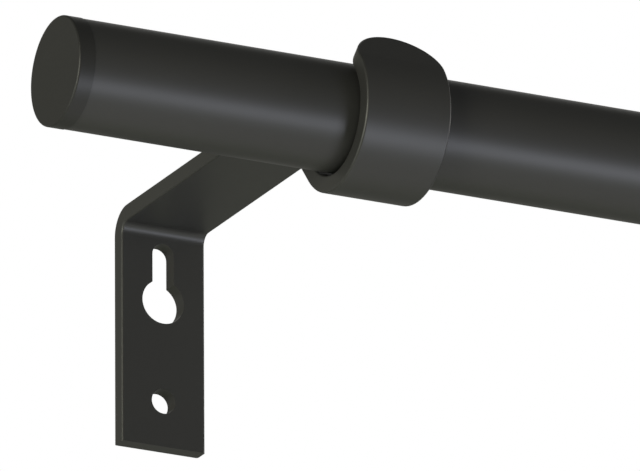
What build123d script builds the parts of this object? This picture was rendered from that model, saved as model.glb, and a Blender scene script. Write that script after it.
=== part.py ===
from build123d import *
from math import cos, radians, sin
import os

# A metal curtain pole on two strip brackets, in millimetres. X runs along the pole, Y goes
# into the wall and Z is up. The wall's face is Y = 0. The origin lies on it, midway between
# the screw holes of the two brackets.

# Pole: a drawn steel tube
pole_length = 700.0
pole_diameter = 19.0
pole_wall = 1.0

# End plugs: a flat rim that stands a little proud of the tube, on a hollow ribbed spigot
cap_rim_length = 3.0
cap_overhang = 0.08
cap_edge_radius = 0.35
spigot_length = 12.0
spigot_wall = 1.3
spigot_clearance = 0.35
spigot_chamfer = 0.4
rib_count = 6
rib_width = 1.2
rib_clearance = 0.05
rib_setback = 2.0

# Brackets: flat steel strip, bent at the wall and at the knee, then rolled into a cradle
# for the pole. The cradle is a half circle between two straight legs: the back leg comes
# down from the knee, and the front leg is the lip, with a fully rounded end.
strip_width = 16.0
strip_thickness = 3.0
strip_edge_radius = 0.4
bracket_setback = 57.5
flange_height = 42.75
flange_bend_radius = 1.8
knee_bend_radius = 5.0
pole_reach = 85.0
pole_height = 32.2
cradle_clearance = 0.5
cradle_tilt = 40.0
lip_length = 7.45

# Holes in the flange, with heights above its foot
screw_hole_diameter = 4.5
screw_hole_height = 8.3
keyhole_diameter = 8.0
keyhole_height = 26.55
slot_width = 4.1
slot_rise = 8.6

# Places that follow from the sizes above
half_pole = pole_length / 2
pole_radius = pole_diameter / 2
bore_radius = pole_radius - pole_wall
spigot_radius = bore_radius - spigot_clearance
half_width = strip_width / 2
half_strip = strip_thickness / 2
bracket_place = half_pole - bracket_setback
foot_z = -screw_hole_height
pole_axis = Vector(0, -pole_reach, foot_z + pole_height)
tilt = radians(cradle_tilt)
leg_direction = Vector(0, sin(tilt), cos(tilt))
lip_normal = Vector(0, -cos(tilt), sin(tilt))
cradle_radius = pole_radius + cradle_clearance + half_strip
half_turn = 180.0


def pole_end(side):
    """The plane of the tube's end on that side, facing outwards along the pole."""
    end = pole_axis + Vector(side * half_pole, 0, 0)
    return Plane(origin=end, x_dir=(0, 1, 0), z_dir=(side, 0, 0))


def in_section(point):
    """A point's place in the bracket's section, which is drawn looking along the pole."""
    return point.Y, point.Z


os.makedirs("parts", exist_ok=True)

with BuildPart() as pole_tube:
    with BuildSketch(pole_end(1)):
        Circle(pole_radius)
        Circle(bore_radius, mode=Mode.SUBTRACT)
    extrude(amount=-pole_length)
pole_tube.part.label = "pole_tube"
export_step(pole_tube.part, "parts/pole_tube.step")

for cap_name, side in (("end_cap_left", -1), ("end_cap_right", 1)):
    with BuildPart() as end_cap:
        with BuildSketch(pole_end(side)):
            Circle(pole_radius + cap_overhang)
        extrude(amount=cap_rim_length)
        outer_face = end_cap.faces().sort_by(Axis(pole_axis, (side, 0, 0)))[-1]
        fillet(outer_face.edges(), cap_edge_radius)
        with BuildSketch(pole_end(side)):
            Circle(spigot_radius)
        extrude(amount=-spigot_length)
        tip_face = end_cap.faces().sort_by(Axis(pole_axis, (side, 0, 0)))[0]
        chamfer(tip_face.edges(), spigot_chamfer)
        with BuildSketch(pole_end(side)):
            with PolarLocations(spigot_radius, rib_count):
                Rectangle(2 * spigot_clearance, rib_width)
            Circle(bore_radius - rib_clearance, mode=Mode.INTERSECT)
        extrude(amount=rib_setback - spigot_length)
        with BuildSketch(pole_end(side)):
            Circle(spigot_radius - spigot_wall)
        extrude(amount=-spigot_length, mode=Mode.SUBTRACT)
    end_cap.part.label = cap_name
    export_step(end_cap.part, f"parts/{cap_name}.step")

# The strip's middle line, from the flange's foot to the lip's tip
foot = Vector(0, -half_strip, foot_z)
leg_foot = pole_axis + cradle_radius * Vector(0, cos(tilt), -sin(tilt))
arm_z = foot_z + flange_height - half_strip
wall_corner = Vector(0, -half_strip, arm_z)
knee = leg_foot + leg_direction * ((arm_z - leg_foot.Z) / leg_direction.Z)
lip_root = pole_axis + cradle_radius * lip_normal
lip_tip = lip_root + lip_length * leg_direction
corners = [in_section(point) for point in (foot, wall_corner, knee, leg_foot)]
bends = [flange_bend_radius + half_strip, knee_bend_radius + half_strip]

for bracket_name, side in (("bracket_left", -1), ("bracket_right", 1)):
    middle = Vector(side * bracket_place, 0, 0)
    with BuildPart() as bracket:
        with BuildSketch(Plane.YZ.offset(middle.X)):
            with BuildLine():
                FilletPolyline(*corners, radius=bends)
                CenterArc(in_section(pole_axis), cradle_radius, -cradle_tilt, -half_turn)
                Line(in_section(lip_root), in_section(lip_tip))
            trace(line_width=strip_thickness)
        extrude(amount=half_width, both=True)

        # The lip's end is a half circle as wide as the strip
        with BuildSketch(Plane(origin=middle + lip_tip, x_dir=(1, 0, 0), z_dir=lip_normal)):
            with Locations((0, -half_width)):
                Rectangle(2 * strip_width, strip_width, align=(Align.CENTER, Align.MIN))
                Circle(half_width, mode=Mode.SUBTRACT)
        extrude(amount=strip_thickness, both=True, mode=Mode.SUBTRACT)

        # The strip's long edges are rounded, and its foot is cut off square. The edges across
        # the thickness, where a side runs smoothly into the lip's half circle, are no corners.
        foot_face = bracket.faces().sort_by(Axis.Z)[0]
        side_edges = bracket.faces().filter_by(Axis.X).edges() - foot_face.edges()
        long_edges = side_edges.filter_by(Axis((0, 0, 0), lip_normal), reverse=True)
        fillet(long_edges, strip_edge_radius)

        with BuildSketch(Plane.XZ):
            with Locations((middle.X, foot_z + screw_hole_height)):
                Circle(screw_hole_diameter / 2)
            with Locations((middle.X, foot_z + keyhole_height)):
                Circle(keyhole_diameter / 2)
            with Locations((middle.X, foot_z + keyhole_height + slot_rise / 2)):
                SlotCenterToCenter(slot_rise, slot_width, rotation=90)
        extrude(amount=strip_thickness, mode=Mode.SUBTRACT)
    bracket.part.label = bracket_name
    export_step(bracket.part, f"parts/{bracket_name}.step")
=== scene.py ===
from collections import namedtuple
from math import cos, radians, sin

import bmesh
import bpy
from bpy.props import FloatProperty, FloatVectorProperty, PointerProperty
from mathutils import Matrix, Vector


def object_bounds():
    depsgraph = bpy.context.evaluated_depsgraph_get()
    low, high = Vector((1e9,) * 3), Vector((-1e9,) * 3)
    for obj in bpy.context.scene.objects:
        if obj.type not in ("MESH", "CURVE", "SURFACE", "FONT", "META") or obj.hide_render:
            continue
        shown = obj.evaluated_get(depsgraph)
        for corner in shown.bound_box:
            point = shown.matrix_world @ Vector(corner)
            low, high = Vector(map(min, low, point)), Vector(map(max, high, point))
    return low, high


bl_info = {
    "name": "Curtain pole",
    "version": (1, 0, 0),
    "blender": (4, 5, 0),
    "location": "3D View > Sidebar > Curtain pole",
    "description": "Coats a metal curtain pole on strip brackets and sets it in a pale studio",
    "category": "Object",
}

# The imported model, in metres. X runs along the pole, Y goes into the wall and Z is up.
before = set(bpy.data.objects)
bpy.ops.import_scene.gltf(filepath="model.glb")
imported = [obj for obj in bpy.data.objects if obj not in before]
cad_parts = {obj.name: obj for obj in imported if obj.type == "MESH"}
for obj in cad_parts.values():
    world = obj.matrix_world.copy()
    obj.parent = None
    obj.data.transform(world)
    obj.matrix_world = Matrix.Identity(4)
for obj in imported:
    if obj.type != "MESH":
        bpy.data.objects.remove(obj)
CAD_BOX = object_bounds()
TUBE = "pole_tube"
END_PLUGS = ("end_cap_left", "end_cap_right")
BRACKETS = ("bracket_left", "bracket_right")

# The grain sizes of the finishes, in metres
COAT_CLOUD = 0.03
COAT_SPECKLE = 0.00035
PLASTIC_FLOW = 0.008
FLOOR_CLOUD = 0.15

# How far the colours vary, as shares of themselves, and how far the roughness does
COAT_SPREAD = 0.12
PLASTIC_SPREAD = 0.07
FLOOR_SPREAD = 0.02
ROUGHNESS_SPREAD = 0.03

# What the surfaces have that doesn't vary
FLOOR_ROUGHNESS = 0.8
PLASTIC_SHINE = 0.4
RELIEF_STRENGTH = 0.5

# The shares of the clouds and the speckle in the coat, and of the speckle in its relief
CLOUD_SHARE = 0.6
SPECKLE_SHARE = 0.4
SPECKLE_RELIEF = 0.1

# The detail of a plain noise and of a fine one
DETAIL = 2.0
FINE_DETAIL = 3.0

# The sides of the floor's polygon, and the width of the camera's sensor in millimetres
FLOOR_SIDES = 96
SENSOR_WIDTH = 36.0

# A softbox stands in a direction from what it lights, with its width along the pole
Softbox = namedtuple("Softbox", "name towards distance width height power colour")
SOFTBOXES = (
    Softbox("key", (0.52, -0.668, -0.532), 3.07, 1.3, 0.75, 43.9, (0.839, 0.869, 1.0)),
    Softbox("left", (-0.95, 0.05, -0.1), 1.6, 1.0, 1.0, 6.3, (0.957, 1.0, 0.902)),
    Softbox("left_edge", (-0.9, -0.43, -0.04), 1.6, 0.5, 0.5, 13.5, (1.0, 0.98, 0.8)),
    Softbox("right_edge", (0.93, -0.2, 0.2), 1.6, 0.5, 0.6, 9.0, (1.0, 0.98, 0.95)),
    Softbox("back", (0.3, 0.72, 0.62), 1.6, 1.4, 0.8, 2.0, (1.0, 1.0, 1.0)),
)
FLOOR_LIGHT = Softbox(
    "floor_light", (0, 0, 1), 0.5, 2.15, 2.15, 11.3, (1.0, 0.967, 0.974),
)

# The colours of the surround, from straight below the pole to straight above it
SURROUND = (
    (0.0, (0.8, 0.85, 0.63)),
    (0.25, (0.154, 0.162, 0.124)),
    (0.5, (0.319, 0.315, 0.291)),
    (0.75, (0.192, 0.19, 0.157)),
    (1.0, (0.057, 0.06, 0.066)),
)


class Level:
    """What a shader socket gives. Python's operators on it add Math nodes."""

    def __init__(self, shader, socket):
        self.shader = shader
        self.socket = socket

    def maths(self, operation, first, second):
        return self.shader.node("Math", {"operation": operation}, first, second)

    def __add__(self, other):
        return self.maths("ADD", self, other)

    def __sub__(self, other):
        return self.maths("SUBTRACT", self, other)

    def __rsub__(self, other):
        return self.maths("SUBTRACT", other, self)

    def __mul__(self, other):
        return self.maths("MULTIPLY", self, other)

    __radd__ = __add__
    __rmul__ = __mul__


def set_stops(stops, wanted):
    """Gives a colour ramp its places and colours."""
    while len(stops) < len(wanted):
        stops.new(1)
    for stop, (place, colour) in zip(stops, wanted):
        stop.position = place
        stop.color = (*colour, 1)


class Shader:
    """The nodes of one material, or of the world."""

    def __init__(self, owner):
        owner.use_nodes = True
        self.tree = owner.node_tree
        self.tree.nodes.clear()

    def node(self, kind, settings, *values, output=None, **named):
        """Adds a node, sets it, and fills its sockets in their order or by name."""
        made = self.tree.nodes.new("ShaderNode" + kind)
        for key, value in settings.items():
            if key == "stops":
                set_stops(made.color_ramp.elements, value)
            else:
                setattr(made, key, value)
        sockets = [socket for socket in made.inputs if socket.enabled]
        filled = list(zip(sockets, values))
        for key, value in named.items():
            name = key.replace("_", " ")
            filled.append((next(s for s in sockets if s.name == name), value))
        for socket, value in filled:
            if isinstance(value, Level):
                self.tree.links.new(value.socket, socket)
            else:
                socket.default_value = value
        given = [socket for socket in made.outputs if socket.enabled]
        if output:
            return Level(self, next(s for s in given if s.name == output))
        return Level(self, given[0]) if given else None

    def place(self):
        """Where a point of the surface is, in metres."""
        return self.node("TexCoord", {}, output="Object")

    def noise(self, grain, detail=DETAIL):
        """A soft random pattern around 0.5, whose grains are about that many metres wide."""
        return self.node(
            "TexNoise", {}, output="Fac", Vector=self.place(), Scale=1 / grain, Detail=detail,
        )

    def tint(self, amount, colour, darker, lighter):
        """A colour that varies with an amount, from a share darker to a share lighter."""
        low, high = Vector(colour) * (1 - darker), Vector(colour) * (1 + lighter)
        return self.node(
            "Mix", {"data_type": "RGBA"}, Factor=amount, A=(*low, 1), B=(*high, 1),
        )

    def relief(self, height, depth):
        """Slight hills and hollows, from a height between 0 and 1 and a depth in metres."""
        return self.node("Bump", {}, Strength=RELIEF_STRENGTH, Distance=depth, Height=height)


def varied_roughness(middle, amount):
    """A roughness that swings about its middle as the amount goes from 0 to 1."""
    return middle - ROUGHNESS_SPREAD + 2 * ROUGHNESS_SPREAD * amount


class CoatingSettings(bpy.types.PropertyGroup):
    """The powder coat on the tube and the brackets."""

    tube_colour: FloatVectorProperty(
        name="Tube colour", description="Colour of the coat on the tube", subtype="COLOR",
        size=3, min=0, max=1, default=(0.02, 0.02, 0.02),
    )
    bracket_colour: FloatVectorProperty(
        name="Bracket colour", description="Colour of the coat on the brackets",
        subtype="COLOR", size=3, min=0, max=1, default=(0.02, 0.02, 0.02),
    )
    roughness: FloatProperty(
        name="Roughness", description="How satin the coat is", min=0, max=1, default=0.45,
        subtype="FACTOR",
    )
    peel_size: FloatProperty(
        name="Peel size", description="Width of the ripples in the coat", default=0.0016,
        min=0.0001, unit="LENGTH", precision=5,
    )
    peel_depth: FloatProperty(
        name="Peel depth", description="Depth of the ripples in the coat", default=0.000004,
        min=0, unit="LENGTH", precision=7,
    )


class PlugSettings(bpy.types.PropertyGroup):
    """The moulded plastic of the end plugs."""

    colour: FloatVectorProperty(
        name="Plug colour", description="Colour of the plastic", subtype="COLOR",
        size=3, min=0, max=1, default=(0.0125, 0.0125, 0.0125),
    )
    roughness: FloatProperty(
        name="Roughness", description="How matt the plastic is", min=0, max=1, default=0.45,
        subtype="FACTOR",
    )
    grain_size: FloatProperty(
        name="Grain size", description="Width of the mould's spark grain", default=0.0004,
        min=0.0001, unit="LENGTH", precision=5,
    )
    grain_depth: FloatProperty(
        name="Grain depth", description="Depth of the mould's spark grain",
        default=0.000003, min=0, unit="LENGTH", precision=7,
    )


class StageSettings(bpy.types.PropertyGroup):
    """The floor, the light and the camera."""

    floor_drop: FloatProperty(
        name="Floor drop", description="Height of the pole over the floor", default=1.4,
        min=0, unit="LENGTH",
    )
    floor_radius: FloatProperty(
        name="Floor radius", description="Radius of the round floor", default=1.08,
        min=0, unit="LENGTH",
    )
    floor_rim: FloatProperty(
        name="Floor rim", description="Width over which the floor fades out at its edge",
        default=0.45, min=0, unit="LENGTH",
    )
    floor_colour: FloatVectorProperty(
        name="Floor colour", description="Colour of the floor", subtype="COLOR",
        size=3, min=0, max=1, default=(0.8, 0.8, 0.79),
    )
    light_level: FloatProperty(
        name="Light level", description="Brightness of all the softboxes", default=1.0,
        min=0,
    )
    camera_target: FloatVectorProperty(
        name="Camera target", description="The point by the left bracket that the camera faces",
        subtype="XYZ", unit="LENGTH", size=3, precision=6, default=(-0.285634, -0.05, 0.016243),
    )
    camera_azimuth: FloatProperty(
        name="Camera azimuth",
        description="Turn of the camera to the left of the pole's front",
        default=radians(26.602), subtype="ANGLE",
    )
    camera_drop: FloatProperty(
        name="Camera drop", description="How far the camera looks up",
        default=radians(19.81), subtype="ANGLE",
    )
    camera_roll: FloatProperty(
        name="Camera roll", description="Turn of the camera about its own line of sight",
        default=radians(-0.335), subtype="ANGLE",
    )
    camera_distance: FloatProperty(
        name="Camera distance", description="Distance from the camera to its target",
        default=3.654, min=0.1, unit="LENGTH",
    )
    camera_lens: FloatProperty(
        name="Camera lens",
        description="Focal length, long enough to show next to no perspective",
        default=1200.0, min=1, unit="CAMERA",
    )


def dress(node, material):
    """Puts a material on a node of the frame."""
    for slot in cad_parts[node].material_slots:
        slot.material = material


def powder_coat(name, colour):
    """A satin powder coat: faintly cloudy, with ripples and a fine grain in its surface."""
    settings = bpy.context.scene.pole_coating
    material = bpy.data.materials.new(name)
    shader = Shader(material)
    speckle = shader.noise(COAT_SPECKLE, detail=FINE_DETAIL)
    tone = CLOUD_SHARE * shader.noise(COAT_CLOUD) + SPECKLE_SHARE * speckle
    height = shader.noise(settings.peel_size) + SPECKLE_RELIEF * speckle
    surface = shader.node(
        "BsdfPrincipled", {},
        Base_Color=shader.tint(tone, colour, COAT_SPREAD, COAT_SPREAD),
        Normal=shader.relief(height, settings.peel_depth),
        Roughness=varied_roughness(settings.roughness, tone),
    )
    shader.node("OutputMaterial", {}, Surface=surface)
    return material


def moulded_plastic():
    """Plain moulded plastic, with the fine grain of a spark-eroded mould."""
    settings = bpy.context.scene.pole_plugs
    material = bpy.data.materials.new("moulded_plastic")
    shader = Shader(material)
    flow = shader.noise(PLASTIC_FLOW)
    grain = shader.noise(settings.grain_size, detail=FINE_DETAIL)
    surface = shader.node(
        "BsdfPrincipled", {}, Specular_IOR_Level=PLASTIC_SHINE,
        Base_Color=shader.tint(flow, settings.colour, PLASTIC_SPREAD, PLASTIC_SPREAD),
        Normal=shader.relief(grain, settings.grain_depth),
        Roughness=varied_roughness(settings.roughness, grain),
    )
    shader.node("OutputMaterial", {}, Surface=surface)
    return material


class CURTAINPOLE_OT_tube(bpy.types.Operator):
    """Powder coats the pole's tube"""

    bl_idname = "curtainpole.tube"
    bl_label = "Coat the tube"

    def execute(self, context):
        dress(TUBE, powder_coat("tube_coat", context.scene.pole_coating.tube_colour))
        return {"FINISHED"}


class CURTAINPOLE_OT_plugs(bpy.types.Operator):
    """Gives the end plugs their moulded plastic"""

    bl_idname = "curtainpole.plugs"
    bl_label = "Mould the end plugs"

    def execute(self, context):
        plastic = moulded_plastic()
        for plug in END_PLUGS:
            dress(plug, plastic)
        return {"FINISHED"}


class CURTAINPOLE_OT_brackets(bpy.types.Operator):
    """Powder coats both brackets"""

    bl_idname = "curtainpole.brackets"
    bl_label = "Coat the brackets"

    def execute(self, context):
        coat = powder_coat("bracket_coat", context.scene.pole_coating.bracket_colour)
        for bracket in BRACKETS:
            dress(bracket, coat)
        return {"FINISHED"}


def floor(settings, middle):
    """A plain round floor, which fades out at its rim, with a light of its own."""
    radius = settings.floor_radius
    mesh = bpy.data.meshes.new("floor")
    disc = bmesh.new()
    bmesh.ops.create_circle(disc, cap_ends=True, segments=FLOOR_SIDES, radius=radius)
    bmesh.ops.translate(disc, verts=disc.verts, vec=middle)
    disc.to_mesh(mesh)
    disc.free()
    mesh.materials.append(floor_paint(settings, middle))
    made = bpy.data.objects.new("floor", mesh)
    bpy.context.scene.collection.objects.link(made)
    softbox(FLOOR_LIGHT, settings.light_level, middle)


def floor_paint(settings, middle):
    """Pale paint with faint clouds, which turns clear towards the floor's rim."""
    radius = settings.floor_radius
    paint = bpy.data.materials.new("floor_paint")
    shader = Shader(paint)
    tone = shader.noise(FLOOR_CLOUD)
    out = shader.node("VectorMath", {"operation": "DISTANCE"}, shader.place(), middle)
    clear = shader.node(
        "MapRange", {"interpolation_type": "SMOOTHSTEP"},
        out, radius - settings.floor_rim, radius,
    )
    surface = shader.node(
        "BsdfPrincipled", {}, Roughness=FLOOR_ROUGHNESS, Alpha=1 - clear,
        Base_Color=shader.tint(tone, settings.floor_colour, FLOOR_SPREAD, 0),
    )
    shader.node("OutputMaterial", {}, Surface=surface)
    return paint


def softbox(box, level, target):
    """A soft rectangular light that faces what it lights."""
    back = Vector(box.towards).normalized()
    across = (Vector((1, 0, 0)) - back * back.x).normalized()
    light = bpy.data.lights.new(box.name, "AREA")
    light.shape = "RECTANGLE"
    light.size = box.width
    light.size_y = box.height
    light.energy = box.power * level
    light.color = box.colour
    made = bpy.data.objects.new(box.name, light)
    at = target + back * box.distance
    made.matrix_world = placed(across, back.cross(across), back, at)
    made.visible_camera = False
    bpy.context.scene.collection.objects.link(made)


def placed(right, up, back, at):
    """The matrix of a light or camera with those axes, at that place."""
    return Matrix.Translation(at) @ Matrix((right, up, back)).transposed().to_4x4()


def backdrop():
    """A white backdrop, and a duller surround, which lights the pole instead of it."""
    scene = bpy.context.scene
    scene.world = bpy.data.worlds.new("studio")
    shader = Shader(scene.world)
    towards = shader.node("TexCoord", {}, output="Generated")
    height = shader.node("SeparateXYZ", {}, Vector=towards, output="Z")
    tone = shader.node("ValToRGB", {"stops": SURROUND}, 0.5 + 0.5 * height)
    surround = shader.node("Background", {}, Color=tone)
    white = shader.node("Background", {}, Color=(1, 1, 1, 1), Strength=1.0)
    seen = shader.node("LightPath", {}, output="Is Camera Ray")
    mixed = shader.node("MixShader", {}, seen, surround, white)
    shader.node("OutputWorld", {}, Surface=mixed)


def camera(settings):
    """The camera, left of the pole's end and below it, looking up."""
    data = bpy.data.cameras.new("camera")
    data.lens = settings.camera_lens
    data.sensor_width = SENSOR_WIDTH
    turn, drop, roll = settings.camera_azimuth, settings.camera_drop, settings.camera_roll
    back = Vector((-sin(turn) * cos(drop), -cos(turn) * cos(drop), -sin(drop)))
    level = Vector((cos(turn), -sin(turn), 0))
    upright = back.cross(level)
    right = cos(roll) * level + sin(roll) * upright
    made = bpy.data.objects.new("camera", data)
    at = Vector(settings.camera_target) + back * settings.camera_distance
    made.matrix_world = placed(right, back.cross(right), back, at)
    bpy.context.scene.collection.objects.link(made)
    bpy.context.scene.camera = made


class CURTAINPOLE_OT_stage(bpy.types.Operator):
    """Sets up the floor, the backdrop, the softboxes and the camera"""

    bl_idname = "curtainpole.stage"
    bl_label = "Set the stage"

    def execute(self, context):
        settings = context.scene.pole_stage
        low, high = CAD_BOX
        centre = (low + high) / 2
        context.scene.view_settings.view_transform = "Standard"
        floor(settings, centre - Vector((0, 0, settings.floor_drop)))
        backdrop()
        for box in SOFTBOXES:
            softbox(box, settings.light_level, centre)
        camera(settings)
        return {"FINISHED"}


class CURTAINPOLE_PT_panel(bpy.types.Panel):
    """Lists the steps and the sizes of the curtain pole"""

    bl_idname = "CURTAINPOLE_PT_panel"
    bl_label = "Curtain pole"
    bl_space_type = "VIEW_3D"
    bl_region_type = "UI"
    bl_category = "Curtain pole"

    def draw(self, context):
        column = self.layout.column()
        for step in STEPS:
            column.operator(step.bl_idname)
        for group in GROUPS:
            values = getattr(context.scene, group)
            for name in values.__annotations__:
                column.prop(values, name)


STEPS = (
    CURTAINPOLE_OT_stage, CURTAINPOLE_OT_tube, CURTAINPOLE_OT_plugs, CURTAINPOLE_OT_brackets,
)
GROUPS = {
    "pole_coating": CoatingSettings,
    "pole_plugs": PlugSettings,
    "pole_stage": StageSettings,
}


def register():
    for kind in (*GROUPS.values(), *STEPS, CURTAINPOLE_PT_panel):
        bpy.utils.register_class(kind)
    for name, group in GROUPS.items():
        setattr(bpy.types.Scene, name, PointerProperty(type=group))


def unregister():
    for name in GROUPS:
        delattr(bpy.types.Scene, name)
    for kind in (CURTAINPOLE_PT_panel, *reversed(STEPS), *GROUPS.values()):
        bpy.utils.unregister_class(kind)


def main():
    register()
    bpy.ops.curtainpole.stage()
    bpy.ops.curtainpole.tube()
    bpy.ops.curtainpole.plugs()
    bpy.ops.curtainpole.brackets()


if __name__ == "__main__":
    main()
